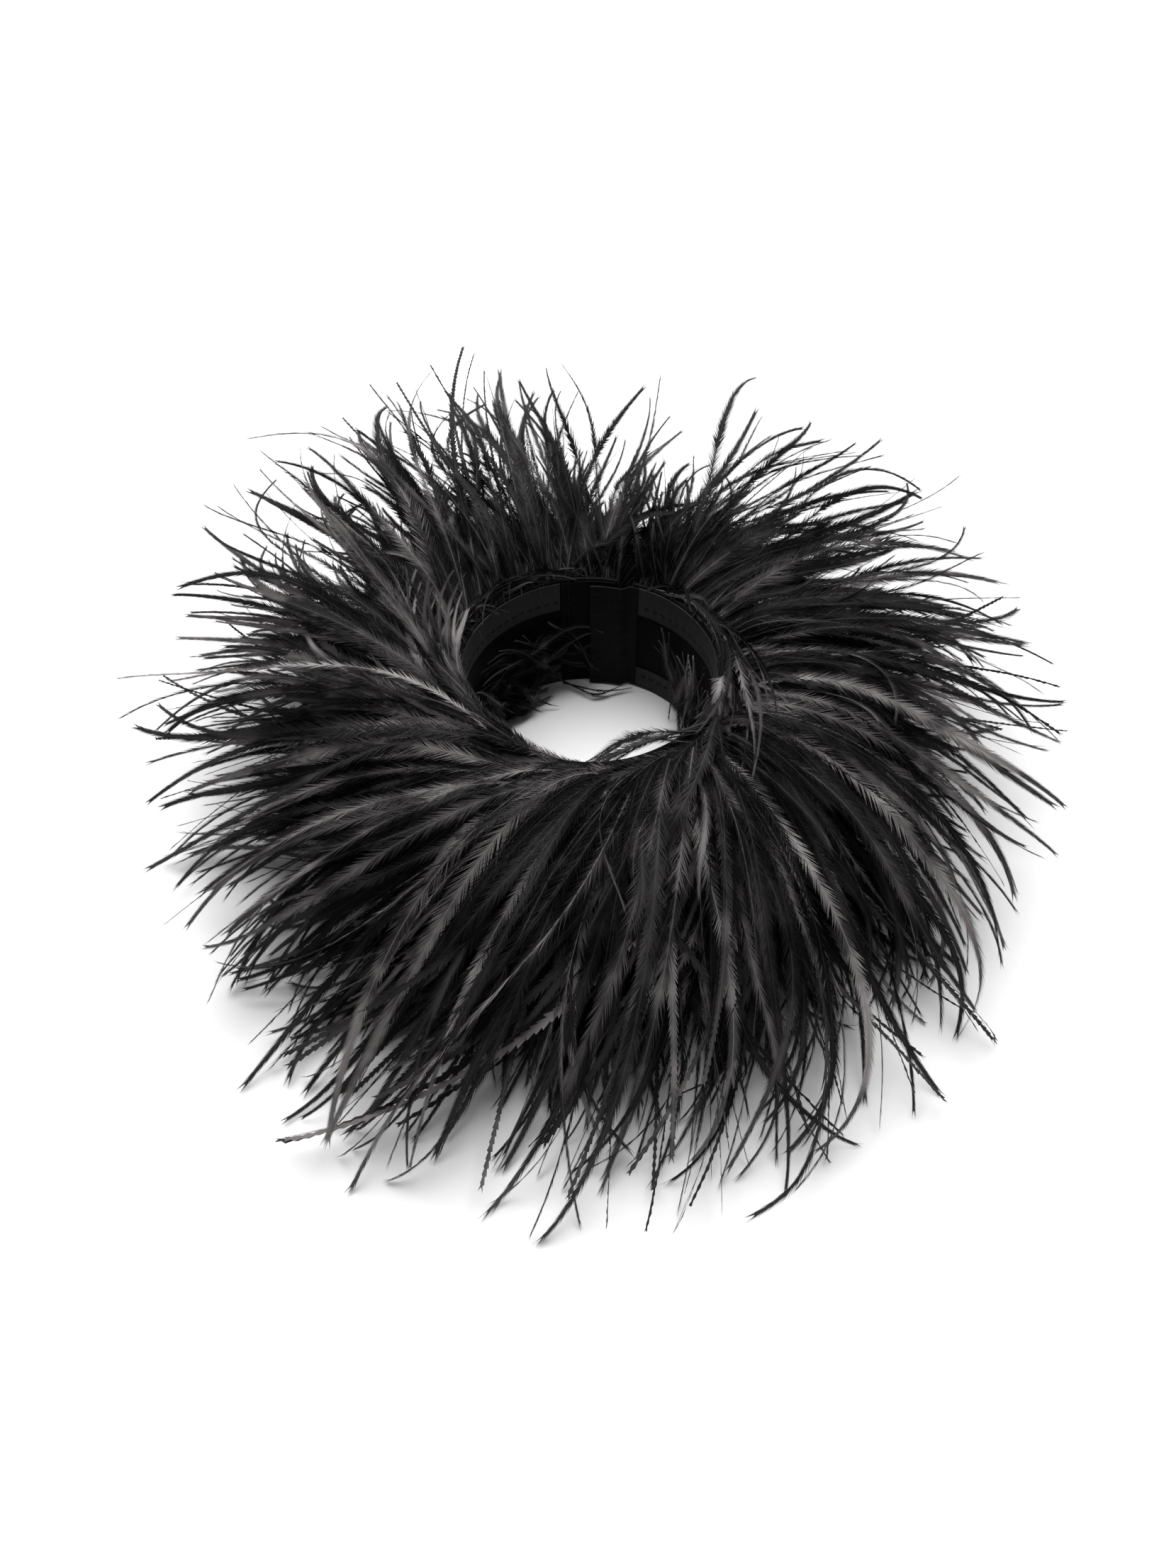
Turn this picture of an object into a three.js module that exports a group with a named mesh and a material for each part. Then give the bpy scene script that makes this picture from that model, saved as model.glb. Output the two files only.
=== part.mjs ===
// Ostrich-feather cuff: a woven band closed into a ring by a lapped tab with two press studs, three header
// tapes round the outside, and three rows of flue bunches that sweep round and droop from the headers.
// Units are millimetres, +Z up. The ring stands on the bottom edge of its band; the lap is at the back (+Y).

import * as THREE from "three";

// ---- Driving dimensions ----

const INNER_RADIUS = 35;
const BAND_HEIGHT = 40;
const BAND_THICKNESS = 1;
const LAYER_GAP = 0.25;

const TAPE_THICKNESS = 0.35;
const TOP_TAPE_WIDTH = 10;
const BOTTOM_TAPE_WIDTH = 8;
const TAPE_EDGE_INSET = 0.4;

// Degrees of arc that one division of a round wall covers.
const ARC_STEP = 12;

// Azimuths in degrees, counterclockwise from +X. The back of the ring is at 90.
const BAND_START = 70;
const BAND_LEFT_END = 78;
const TAB_ROOT = 70.6;
const TAB_EDGE = 91;
const LEFT_FACING_START = 78.8;
const LEFT_FACING_END = 105;
const TAPE_START = 105.6;
const TAPE_END = 67;
const HEADER_START = 78.5;
const HEADER_END = 69.5;
const STUD_AZIMUTH = 84.5;

// The tab leaves the band this far inside its middle line and steps in by TAB_STEP to lie over the left end.
const TAB_THICKNESS = 0.7;
const TAB_ROOT_INSET = 0.15;
const TAB_STEP = 2.75;
const TAB_STEP_END = 75.5;
const TAB_HEIGHT = 38.6;
const TAB_DIVISIONS = 16;

const STUD_RADIUS = 2.9;
const STUD_BALL_RADIUS = 0.95;
const STUD_BALL_PLATE = 0.3;
const STUD_BALL_RISE = 0.5;
const STUD_SOCKET_THICKNESS = 0.5;
const STUD_RIM_STEP = 0.2;
const STUD_SOCKET_CHAMFER = 0.5;
const STUD_SOCKET_CLEARANCE = 0.3;
const STUD_GAP = 0.1;
const STUD_DIVISIONS = 20;
const STUD_HEIGHTS = { lower: 10.5, upper: 29.5 };

const HEADER_THICKNESS = 0.9;
const HEADER_WIDTH = 7;

const BUNCHES_PER_ROW = 12;
const FRINGE_START = 74;
const BUNCH_GAP = 0.9;
const BUNCH_ROOT_GAP = 0.5;
const BUNCH_ROOT_POWER = 0.3;
const BUNCH_TIP_POWER = 0.6;
const BUNCH_SIDES = 10;
const BUNCH_STATIONS = 8;

// The flues leave the ring at an angle to its radius, clockwise as seen from above. They spiral round its left
// and front left, and are nearly radial at the right and back: [azimuth of the root, angle].
const LEAVING_ANGLES = [
  [74, -12],
  [110, 4],
  [140, 24],
  [180, 50],
  [205, 64],
  [255, 66],
  [280, 52],
  [300, 38],
  [325, 18],
  [350, 7],
  [434, 8],
];

// Each row of the fringe: where its header sits, how far its bunches reach at the sides, front and back of the
// ring, the middle line of a bunch as (share of reach, height) at front and back, and half its thickness there.
const ROWS = [
  {
    name: "upper",
    header: 34,
    reach: { side: 120, front: 128.5, back: 128 },
    front: [[0, 34], [0.25, 40], [0.5, 34.5], [0.75, 22], [1, 7]],
    back: [[0, 34], [0.25, 45], [0.5, 49.5], [0.75, 48], [1, 42]],
    half: { front: 4.8, back: 7.6 },
  },
  {
    name: "middle",
    header: 21.5,
    reach: { side: 110, front: 116, back: 113 },
    front: [[0, 21.5], [0.25, 26], [0.5, 21], [0.75, 12.5], [1, 5]],
    back: [[0, 21.5], [0.25, 28], [0.5, 31], [0.75, 31], [1, 28]],
    half: { front: 4.3, back: 6.6 },
  },
  {
    name: "lower",
    header: 9,
    reach: { side: 100, front: 105, back: 102 },
    front: [[0, 9], [0.25, 11.5], [0.5, 8.5], [0.75, 5.2], [1, 3.4]],
    back: [[0, 9], [0.25, 12.5], [0.5, 14], [0.75, 14], [1, 12]],
    half: { front: 3.4, back: 6 },
  },
];

// ---- Derived sizes ----

const BAND_OUTER = INNER_RADIUS + BAND_THICKNESS;
const TAPE_OUTER = INNER_RADIUS - LAYER_GAP;
const TAPE_INNER = TAPE_OUTER - TAPE_THICKNESS;
const HEADER_INNER = BAND_OUTER + LAYER_GAP;
const HEADER_OUTER = HEADER_INNER + HEADER_THICKNESS;
const BUNCH_ROOT = HEADER_OUTER + BUNCH_ROOT_GAP;
const BAND_MIDDLE = (INNER_RADIUS + BAND_OUTER) / 2;
const STUD_PLATE_BACK = TAPE_INNER - LAYER_GAP;
const STUD_SOCKET_BACK = STUD_PLATE_BACK - STUD_BALL_PLATE - STUD_GAP - STUD_SOCKET_THICKNESS;
const TOP_TAPE_BOTTOM = BAND_HEIGHT - TAPE_EDGE_INSET - TOP_TAPE_WIDTH;
const FULL_TURN = 360;

// ---- Materials ----

const fabric = (color, roughness) =>
  new THREE.MeshStandardMaterial({ color, roughness, metalness: 0 });
const bandCloth = fabric(0x17171a, 0.9);
const ribbon = fabric(0x222226, 0.6);
const headerCloth = fabric(0x131316, 0.9);
const feather = fabric(0x1a1718, 0.7);
const blackMetal = new THREE.MeshStandardMaterial({
  color: 0x2a2a2d,
  roughness: 0.35,
  metalness: 1,
});

// ---- Helpers ----

const rad = THREE.MathUtils.degToRad;
const cuff = new THREE.Group();

function addPiece(name, geometry, material) {
  const mesh = new THREE.Mesh(geometry, material);
  mesh.name = name;
  cuff.add(mesh);
  return mesh;
}

// A wall that follows a circle: between two radii, from azimuth start to azimuth end, standing on z.
function arcWall(inner, outer, start, end, z, height) {
  const outline = new THREE.Shape();
  outline.absarc(0, 0, outer, rad(start), rad(end), false);
  outline.absarc(0, 0, inner, rad(end), rad(start), true);
  const curveSegments = Math.ceil((end - start) / ARC_STEP);
  const wall = new THREE.ExtrudeGeometry(outline, {
    depth: height,
    bevelEnabled: false,
    curveSegments,
  });
  return wall.translate(0, 0, z);
}

// ---- Band, tapes and headers ----

function addBand() {
  addPiece(
    "band_lining",
    arcWall(INNER_RADIUS, BAND_OUTER, BAND_LEFT_END, BAND_START + FULL_TURN, 0, BAND_HEIGHT),
    bandCloth,
  );
  const tapeEnd = TAPE_END + FULL_TURN;
  addPiece(
    "top_tape",
    arcWall(TAPE_INNER, TAPE_OUTER, TAPE_START, tapeEnd, TOP_TAPE_BOTTOM, TOP_TAPE_WIDTH),
    ribbon,
  );
  addPiece(
    "bottom_tape",
    arcWall(TAPE_INNER, TAPE_OUTER, TAPE_START, tapeEnd, TAPE_EDGE_INSET, BOTTOM_TAPE_WIDTH),
    ribbon,
  );
  const facingHeight = BAND_HEIGHT - 2 * TAPE_EDGE_INSET;
  addPiece(
    "left_end_facing",
    arcWall(TAPE_INNER, TAPE_OUTER, LEFT_FACING_START, LEFT_FACING_END, TAPE_EDGE_INSET, facingHeight),
    bandCloth,
  );
  for (const row of ROWS) {
    const bottom = row.header - HEADER_WIDTH / 2;
    addPiece(
      "fringe_header_" + row.name,
      arcWall(HEADER_INNER, HEADER_OUTER, HEADER_START, HEADER_END + FULL_TURN, bottom, HEADER_WIDTH),
      headerCloth,
    );
  }
}

// ---- Closure: the lapped tab and its press studs ----

// The tab's middle line steps inwards from the band to lie over the left end.
function tabRadius(azimuth) {
  const share = THREE.MathUtils.smoothstep(azimuth, TAB_ROOT, TAB_STEP_END);
  return BAND_MIDDLE - THREE.MathUtils.lerp(TAB_ROOT_INSET, TAB_STEP, share);
}

function addClosureTab() {
  const half = TAB_THICKNESS / 2;
  const nudge = 0.1;
  const outerSide = [];
  const innerSide = [];
  for (let i = 0; i <= TAB_DIVISIONS; i += 1) {
    const azimuth = THREE.MathUtils.lerp(TAB_ROOT, TAB_EDGE, i / TAB_DIVISIONS);
    const radius = tabRadius(azimuth);
    const rise = tabRadius(azimuth + nudge) - tabRadius(azimuth - nudge);
    const slope = rise / (radius * rad(2 * nudge));
    const across = half * Math.hypot(1, slope);
    const direction = new THREE.Vector2(Math.cos(rad(azimuth)), Math.sin(rad(azimuth)));
    outerSide.push(direction.clone().multiplyScalar(radius + across));
    innerSide.push(direction.clone().multiplyScalar(radius - across));
  }
  const outline = new THREE.Shape([...outerSide, ...innerSide.reverse()]);
  const tab = new THREE.ExtrudeGeometry(outline, { depth: TAB_HEIGHT, bevelEnabled: false });
  tab.translate(0, 0, (BAND_HEIGHT - TAB_HEIGHT) / 2);
  addPiece("closure_tab", tab, ribbon);
}

// A turned piece whose axis points from the wrist axis out through the lap, with its base at a radius.
function placeStud(mesh, radius, height) {
  const azimuth = rad(STUD_AZIMUTH);
  const outwards = new THREE.Vector3(Math.cos(azimuth), Math.sin(azimuth), 0);
  mesh.quaternion.setFromUnitVectors(new THREE.Vector3(0, 1, 0), outwards);
  mesh.position.copy(outwards).multiplyScalar(radius).setZ(height);
}

// The ball half: a thin round plate with a domed knob that narrows again where it meets the plate.
function studBallProfile() {
  const neck = STUD_BALL_RADIUS * 0.85;
  const crown = STUD_BALL_RADIUS * 0.7;
  return [
    new THREE.Vector2(0, -STUD_BALL_PLATE - STUD_BALL_RISE),
    new THREE.Vector2(crown, -STUD_BALL_PLATE - STUD_BALL_RISE * 0.75),
    new THREE.Vector2(STUD_BALL_RADIUS, -STUD_BALL_PLATE - STUD_BALL_RISE * 0.35),
    new THREE.Vector2(neck, -STUD_BALL_PLATE),
    new THREE.Vector2(STUD_RADIUS - STUD_RIM_STEP, -STUD_BALL_PLATE),
    new THREE.Vector2(STUD_RADIUS, -STUD_BALL_PLATE / 2),
    new THREE.Vector2(STUD_RADIUS, 0),
    new THREE.Vector2(0, 0),
  ];
}

// The socket half: a ring with a chamfered outer edge, round the hole that the ball snaps into.
function studSocketProfile() {
  const hole = STUD_BALL_RADIUS + STUD_SOCKET_CLEARANCE;
  return [
    new THREE.Vector2(hole, 0),
    new THREE.Vector2(STUD_RADIUS, 0),
    new THREE.Vector2(STUD_RADIUS, STUD_SOCKET_THICKNESS / 2),
    new THREE.Vector2(STUD_RADIUS - STUD_SOCKET_CHAMFER, STUD_SOCKET_THICKNESS),
    new THREE.Vector2(hole, STUD_SOCKET_THICKNESS),
    new THREE.Vector2(hole, 0),
  ];
}

function addStuds() {
  for (const [level, height] of Object.entries(STUD_HEIGHTS)) {
    const ballShape = new THREE.LatheGeometry(studBallProfile(), STUD_DIVISIONS);
    placeStud(addPiece("stud_ball_" + level, ballShape, blackMetal), STUD_PLATE_BACK, height);
    const socketShape = new THREE.LatheGeometry(studSocketProfile(), STUD_DIVISIONS);
    placeStud(addPiece("stud_socket_" + level, socketShape, blackMetal), STUD_SOCKET_BACK, height);
  }
}

// ---- Fringe ----

function leavingAngle(root) {
  const next = Math.max(1, LEAVING_ANGLES.findIndex(([azimuth]) => azimuth >= root));
  const [low, lowAngle] = LEAVING_ANGLES[next - 1];
  const [high, highAngle] = LEAVING_ANGLES[next];
  return THREE.MathUtils.mapLinear(root, low, high, lowAngle, highAngle);
}

// Where a straight flue that starts at the root's azimuth has got to at a radius.
function sweptAzimuth(root, radius) {
  const angle = leavingAngle(root);
  const still = THREE.MathUtils.radToDeg(Math.asin((BUNCH_ROOT * Math.sin(rad(angle))) / radius));
  return root - angle + still;
}

function heightCurve(points) {
  return new THREE.SplineCurve(points.map(([share, height]) => new THREE.Vector2(share, height)));
}

// A ball stretched into a drooping lobe, blunt at its root, that fills one sector of a row.
function bunchGeometry(row, start) {
  const step = FULL_TURN / BUNCHES_PER_ROW;
  const middle = start + step / 2;
  const backness = (1 + Math.sin(rad(sweptAzimuth(middle, row.reach.side * 0.7)))) / 2;
  const tip = rad(sweptAzimuth(middle, row.reach.side));
  const furthest = Math.sin(tip) > 0 ? row.reach.back : row.reach.front;
  const reach = THREE.MathUtils.lerp(row.reach.side, furthest, Math.sin(tip) ** 2);
  const halfHeight = THREE.MathUtils.lerp(row.half.front, row.half.back, backness);
  const front = heightCurve(row.front);
  const back = heightCurve(row.back);

  const lobe = new THREE.SphereGeometry(1, BUNCH_SIDES, BUNCH_STATIONS);
  const position = lobe.getAttribute("position");
  const point = new THREE.Vector3();
  for (let i = 0; i < position.count; i += 1) {
    point.fromBufferAttribute(position, i);
    const share = (1 + point.y) / 2;
    const ring = Math.hypot(point.x, point.z);
    const power = share < 0.5 ? BUNCH_ROOT_POWER : BUNCH_TIP_POWER;
    const fullness = ring > 1e-6 ? ring ** (power - 1) : 0;
    const across = -point.x * fullness;
    const up = point.z * fullness;
    const radius = THREE.MathUtils.lerp(BUNCH_ROOT, reach, share);
    const gap = THREE.MathUtils.radToDeg(BUNCH_GAP / radius);
    const low = sweptAzimuth(start, radius) + gap;
    const high = sweptAzimuth(start + step, radius) - gap;
    const azimuth = rad(THREE.MathUtils.lerp(low, high, (1 + across) / 2));
    const centre = THREE.MathUtils.lerp(front.getPoint(share).y, back.getPoint(share).y, backness);
    position.setXYZ(
      i,
      radius * Math.cos(azimuth),
      radius * Math.sin(azimuth),
      centre + up * halfHeight,
    );
  }
  return lobe;
}

function addFringe() {
  for (const row of ROWS) {
    for (let i = 0; i < BUNCHES_PER_ROW; i += 1) {
      const start = FRINGE_START + (FULL_TURN / BUNCHES_PER_ROW) * i;
      const number = String(i + 1).padStart(2, "0");
      addPiece("flue_bunch_" + row.name + "_" + number, bunchGeometry(row, start), feather);
    }
  }
}

// ---- Assembly ----

addBand();
addClosureTab();
addStuds();
addFringe();

export default cuff;
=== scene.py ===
"""The looks of a black ostrich-feather cuff: cloth band, ribbons, stitches, press studs and feathers.

Lengths are in millimetres until a mesh is made, when they become metres. Azimuths are in degrees,
counterclockwise from +X as seen from above, so the back of the ring is at 90 and the front at 270.
"""

import math

import bpy
import numpy as np
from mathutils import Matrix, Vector


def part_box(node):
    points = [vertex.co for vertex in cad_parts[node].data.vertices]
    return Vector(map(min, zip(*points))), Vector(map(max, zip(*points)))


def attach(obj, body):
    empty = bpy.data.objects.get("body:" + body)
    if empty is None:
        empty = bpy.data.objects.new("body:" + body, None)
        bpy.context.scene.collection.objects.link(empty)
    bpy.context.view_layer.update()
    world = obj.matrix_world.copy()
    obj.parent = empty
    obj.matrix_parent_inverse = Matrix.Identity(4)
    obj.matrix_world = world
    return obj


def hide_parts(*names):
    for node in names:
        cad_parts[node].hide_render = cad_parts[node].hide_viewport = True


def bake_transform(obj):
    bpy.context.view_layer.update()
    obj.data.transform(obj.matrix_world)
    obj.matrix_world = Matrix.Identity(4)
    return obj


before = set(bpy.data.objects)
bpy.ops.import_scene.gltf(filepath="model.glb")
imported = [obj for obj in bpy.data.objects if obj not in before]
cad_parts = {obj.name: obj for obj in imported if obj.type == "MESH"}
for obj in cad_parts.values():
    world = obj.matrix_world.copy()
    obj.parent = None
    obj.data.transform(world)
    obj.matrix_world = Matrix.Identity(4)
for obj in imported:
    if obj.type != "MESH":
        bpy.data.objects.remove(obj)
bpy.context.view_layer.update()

MM = 0.001
FLOOR_CLEARANCE = 0.2
UP = np.array([0.0, 0.0, 1.0])

# ---- The fringe ----

# The rows of flues, from the top of the band down. For a usual bunch: how many flues and short flues it has,
# what shares of the usual reach and height they get to, how steeply they rise at first, in degrees, their
# range of tones, and the share of each flue that has hair-fine barbs.
# The middle and lower rows get low tones as painted shade under the upper row.
ROWS = {
    "upper": {
        "flues": 66, "shorts": 12, "reach": (0.70, 1.06), "height": 1.0, "start": (14, 64),
        "tone": (0.03, 1), "fine_share": 0.55,
    },
    "middle": {
        "flues": 44, "shorts": 4, "reach": (0.70, 1.0), "height": 0.6, "start": (-4, 34),
        "tone": (0, 0.3), "fine_share": 0,
    },
    "lower": {
        "flues": 34, "shorts": 2, "reach": (0.62, 0.96), "height": 0.22, "start": (-12, 20),
        "tone": (0, 0.15), "fine_share": 0,
    },
}
# How far a flue leans clockwise from the radius where it leaves the ring: (azimuth of its root, angle).
LEAN = (
    (74, -12), (110, 4), (140, 24), (180, 56), (205, 76), (256, 86), (274, 72), (287, 54), (300, 41),
    (325, 20), (350, 8), (434, 8),
)
# How far a flue turns on its way, half before and half after its middle: (azimuth of its root, angle).
# Clockwise is negative.
TURN = ((74, -8), (110, 5), (270, 4), (292, -10), (312, -22), (365, -22), (388, 0), (434, -8))
# How full the bunches are: (azimuth of the root, share of the usual number of flues).
FULLNESS = (
    (74, 1.8), (110, 1.6), (150, 1.4), (205, 0.95), (240, 1.1), (275, 1.6), (300, 1.5), (330, 1.25),
    (390, 1.45), (434, 1.9),
)
# Painted light and shade: how light the flues are painted by the side they point to, lighter where light
# falls on them and darker where it doesn't: (azimuth of the tip, share of the usual lightness).
PAINTED_LIGHT_BY_SIDE = (
    (0, 1.6), (30, 0.6), (60, 0.15), (95, 0.3), (135, 0.8), (180, 1.6), (225, 0.75), (270, 1.0),
    (320, 1.5), (360, 1.6),
)
BUNCHES = 12
NOTCH = 74  # azimuth of the gap between the last bunch and the first, over the band's lap
FIRST_ROOT = 78.5
LAST_ROOT = 429.5
ROOT_SPREAD = 2.6  # how far above and below its header's middle a flue is sewn
# How much flues differ, from lock to lock and from flue to flue inside a lock, in degrees or millimetres.
SPREAD = {
    "root": (1.2, 1.8), "lean": (8, 2.6), "height": (6, 2), "leave": (16, 7), "settle": (21, 9),
    "dip": (11, 5), "wave": (1.7, 1.8), "curl": (4.5, 2),
}
REACH_SPREAD = 0.04  # of a flue's share of the usual reach
RISE_SPREAD = 7  # of the angle at which it rises at first
LONG_SHARE = 0.18  # share of the upper flues that reach out beyond the rest
LONG_REACH = (0.9, 1.0)  # as shares of the longest reach
SHORT_REACH = (16, 46)  # how far out from their header short flues end
SHORT_RISE = (-4, 10)  # and how far up from their roots
FIRST_HANDLE = (0.28, 0.42)  # lengths of a curve's two handles, as shares of its span
LAST_HANDLE = (0.3, 0.45)
WAVES = (4, 9)  # how far a flue's wave runs on from root to tip, in radians
LOWEST_TIP = 0.6
HIGHEST = 66  # anything higher is drawn down
STATIONS = 200  # places along a flue where a pair of barbs grows
SHAFT_RINGS = 19
SHAFT_RADIUS = (0.26, 0.06)  # at the root and at the tip
BARB_ANGLE = 26  # between a barb and its shaft
CLOSED_SHARE = 0.2  # share of the flues whose barbs lie close to the shaft
CLOSED_ANGLE = 0.6  # and their angle, as a share of the usual one
FULL_SHARE = 0.38  # share of the flues that have long barbs
FULL_BARBS = (5.4, 7.6)
SLIM_BARBS = (3.8, 5.4)
# Painted highlight: these flues are given light tones, as if lit.
LIT_SHARE = 0.3  # share of the flues that catch the light
LIT_TONES = (0.22, 0.85)


# ---- Numbers and meshes ----


def bump(azimuth, centre, width):
    """1 at an azimuth, falling to 0 around it."""
    away = (azimuth - centre + 180) % 360 - 180
    return np.exp(-((away / width) ** 2))


def smoothstep(x, low, high):
    """0 below a range, 1 above it and a smooth step between."""
    t = np.clip((x - low) / (high - low), 0, 1)
    return t * t * (3 - 2 * t)


def polar(radius, azimuth, z):
    """Points or vectors from their radius, azimuth and height."""
    a = np.radians(azimuth)
    return np.stack(np.broadcast_arrays(radius * np.cos(a), radius * np.sin(a), z), axis=-1)


def azimuth_of(points):
    return np.degrees(np.arctan2(points[..., 1], points[..., 0]))


def unit(v):
    return v / np.maximum(np.linalg.norm(v, axis=-1, keepdims=True), 1e-9)


def add_object(name, points, faces, material, smooth=True):
    """A mesh object from points in millimetres and lists of corner numbers."""
    mesh = bpy.data.meshes.new(name)
    mesh.from_pydata(points * MM, [], faces)
    mesh.update()
    mesh.polygons.foreach_set("use_smooth", np.full(len(mesh.polygons), smooth))
    mesh.materials.append(material)
    made = bpy.data.objects.new(name, mesh)
    bpy.context.scene.collection.objects.link(made)
    return made


def add_attribute(piece, name, values):
    made = piece.data.attributes.new(name, "FLOAT", "POINT")
    made.data.foreach_set("value", np.asarray(values, np.float32).ravel())


def reach_of(node):
    """Smallest and largest distance of a CAD node from the ring's axis, in millimetres."""
    far = [math.hypot(v.co.x, v.co.y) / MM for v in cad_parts[node].data.vertices]
    return min(far), max(far)


# ---- Materials ----


def new_material(name):
    """A material, its node tree and its shader."""
    material = bpy.data.materials.new(name)
    material.use_nodes = True
    tree = material.node_tree
    shader = tree.nodes["Principled BSDF"]
    return material, tree, shader


def node(tree, kind, inputs=None, **settings):
    """A new node, with its inputs linked to sockets or set to values."""
    made = tree.nodes.new(kind)
    for key, value in settings.items():
        setattr(made, key, value)
    for key, value in (inputs or {}).items():
        if isinstance(value, bpy.types.NodeSocket):
            tree.links.new(value, made.inputs[key])
        else:
            made.inputs[key].default_value = value
    return made


def mix_colours(tree, share, first, second):
    """The first colour at share 0 and the second at share 1."""
    return node(tree, "ShaderNodeMix", {0: share, 6: first, 7: second}, data_type="RGBA").outputs[2]


def feather_material(name, gloss, depth):
    """Black barbs and paler shafts; light is painted on more or less flue by flue, with patches of painted
    shade; depth is the darkest flues' colour.
    """
    material, tree, shader = new_material(name)
    tone = node(tree, "ShaderNodeAttribute", attribute_name="tone").outputs["Fac"]
    barb = node(tree, "ShaderNodeAttribute", attribute_name="barb").outputs["Fac"]
    along = node(tree, "ShaderNodeAttribute", attribute_name="along").outputs["Fac"]
    place = node(tree, "ShaderNodeTexCoord").outputs["Object"]
    # Painted shade: noise patches darken most of the feather towards a bluish black, standing in for the
    # shadow between locks.
    shade_patch = node(tree, "ShaderNodeTexNoise", {"Vector": place, "Scale": 55.0, "Detail": 3.0})
    share = node(
        tree, "ShaderNodeMapRange", {"Value": shade_patch.outputs["Fac"], "From Min": 0.42, "From Max": 0.58}
    ).outputs["Result"]
    tones = mix_colours(tree, tone, (depth, depth, 1.3 * depth, 1), (0.33, 0.305, 0.305, 1))
    shaded = mix_colours(tree, share, tones, (1.5 * depth, 1.4 * depth, 1.7 * depth, 1))
    with_painted_shade = mix_colours(tree, 0.85, tones, shaded)
    tips = node(tree, "ShaderNodeMapRange", {"Value": along, "From Min": 0.72, "To Max": 0.35})
    faded = mix_colours(tree, tips.outputs["Result"], with_painted_shade, (0.08, 0.074, 0.073, 1))
    # Shafts are paler than the barbs and are painted lighter still on the lighter-toned flues: partly their
    # own colour, partly a painted highlight along the shaft.
    bright = node(tree, "ShaderNodeMapRange", {"Value": tone, "To Min": 0.05, "To Max": 0.8})
    shaft = node(
        tree, "ShaderNodeMapRange", {"Value": barb, "From Max": 0.12, "To Min": 1.0, "To Max": 0.0}
    )
    shaft_paleness_and_highlight = node(
        tree,
        "ShaderNodeMath",
        {0: shaft.outputs["Result"], 1: bright.outputs["Result"]},
        operation="MULTIPLY",
    )
    colour = mix_colours(tree, shaft_paleness_and_highlight.outputs[0], faded, (0.19, 0.178, 0.178, 1))
    tree.links.new(colour, shader.inputs["Base Color"])
    rough = node(
        tree, "ShaderNodeMapRange", {"Value": barb, "From Max": 0.1, "To Min": 0.36, "To Max": 0.55}
    )
    tree.links.new(rough.outputs["Result"], shader.inputs["Roughness"])
    shader.inputs["Specular IOR Level"].default_value = gloss
    shader.inputs["Sheen Weight"].default_value = 0.01
    shader.inputs["Sheen Roughness"].default_value = 0.5
    return material


def metal_material(name, colour):
    """Blackened metal, rubbed brighter in patches."""
    material, tree, shader = new_material(name)
    place = node(tree, "ShaderNodeTexCoord").outputs["Object"]
    noise = node(tree, "ShaderNodeTexNoise", {"Vector": place, "Scale": 900.0, "Detail": 4.0})
    wear = noise.outputs["Fac"]
    rubbed = tuple(2.2 * c for c in colour) + (1,)
    tree.links.new(mix_colours(tree, wear, colour + (1,), rubbed), shader.inputs["Base Color"])
    rough = node(tree, "ShaderNodeMapRange", {"Value": wear, "To Min": 0.3, "To Max": 0.5})
    tree.links.new(rough.outputs["Result"], shader.inputs["Roughness"])
    shader.inputs["Metallic"].default_value = 1.0
    return material


def cloth_material(name, colour, around_pitch, up_pitch, roughness, gloss=0.1):
    """Woven cloth: two sets of threads, so far apart in millimetres, over and under each other."""
    material, tree, shader = new_material(name)

    def threads(attribute, pitch):
        place = node(tree, "ShaderNodeAttribute", attribute_name=attribute).outputs["Fac"]
        turns = node(tree, "ShaderNodeMath", {0: place, 1: 2 * math.pi / pitch}, operation="MULTIPLY")
        return node(tree, "ShaderNodeMath", {0: turns.outputs[0]}, operation="SINE").outputs[0]

    both = node(
        tree,
        "ShaderNodeMath",
        {0: threads("around", around_pitch), 1: threads("up", up_pitch)},
        operation="ADD",
    )
    place = node(tree, "ShaderNodeTexCoord").outputs["Object"]
    fuzz = node(tree, "ShaderNodeTexNoise", {"Vector": place, "Scale": 700.0, "Detail": 4.0})
    uneven = node(tree, "ShaderNodeTexNoise", {"Vector": place, "Scale": 60.0, "Detail": 2.0})
    height = node(
        tree, "ShaderNodeMath", {0: both.outputs[0], 1: fuzz.outputs["Fac"]}, operation="ADD"
    )
    bumps = node(
        tree,
        "ShaderNodeBump",
        {"Height": height.outputs[0], "Strength": 0.35, "Distance": 0.12 * MM},
    )
    tree.links.new(bumps.outputs["Normal"], shader.inputs["Normal"])
    share = node(
        tree, "ShaderNodeMapRange", {"Value": both.outputs[0], "From Min": -2.0, "From Max": 2.0}
    ).outputs["Result"]
    dark = tuple(0.55 * c for c in colour) + (1,)
    light = tuple(1.35 * c for c in colour) + (1,)
    woven = mix_colours(tree, share, dark, light)
    worn = mix_colours(tree, uneven.outputs["Fac"], woven, tuple(1.2 * c for c in colour) + (1,))
    tree.links.new(worn, shader.inputs["Base Color"])
    shader.inputs["Roughness"].default_value = roughness
    shader.inputs["Specular IOR Level"].default_value = gloss
    shader.inputs["Sheen Weight"].default_value = 0.01
    return material


# ---- Feathers ----


def from_pairs(pairs, azimuth):
    """The value at an azimuth, from a tuple of (azimuth, value)."""
    return np.interp(azimuth, *np.array(pairs, float).T)


def distance_to_reach(start, lean, reach):
    """How far a straight flue that leaves the ring at an angle goes to get this far from the axis."""
    angle = np.radians(lean)
    return np.sqrt(np.maximum(reach**2 - (start * np.sin(angle)) ** 2, 1)) - start * np.cos(angle)


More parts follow.
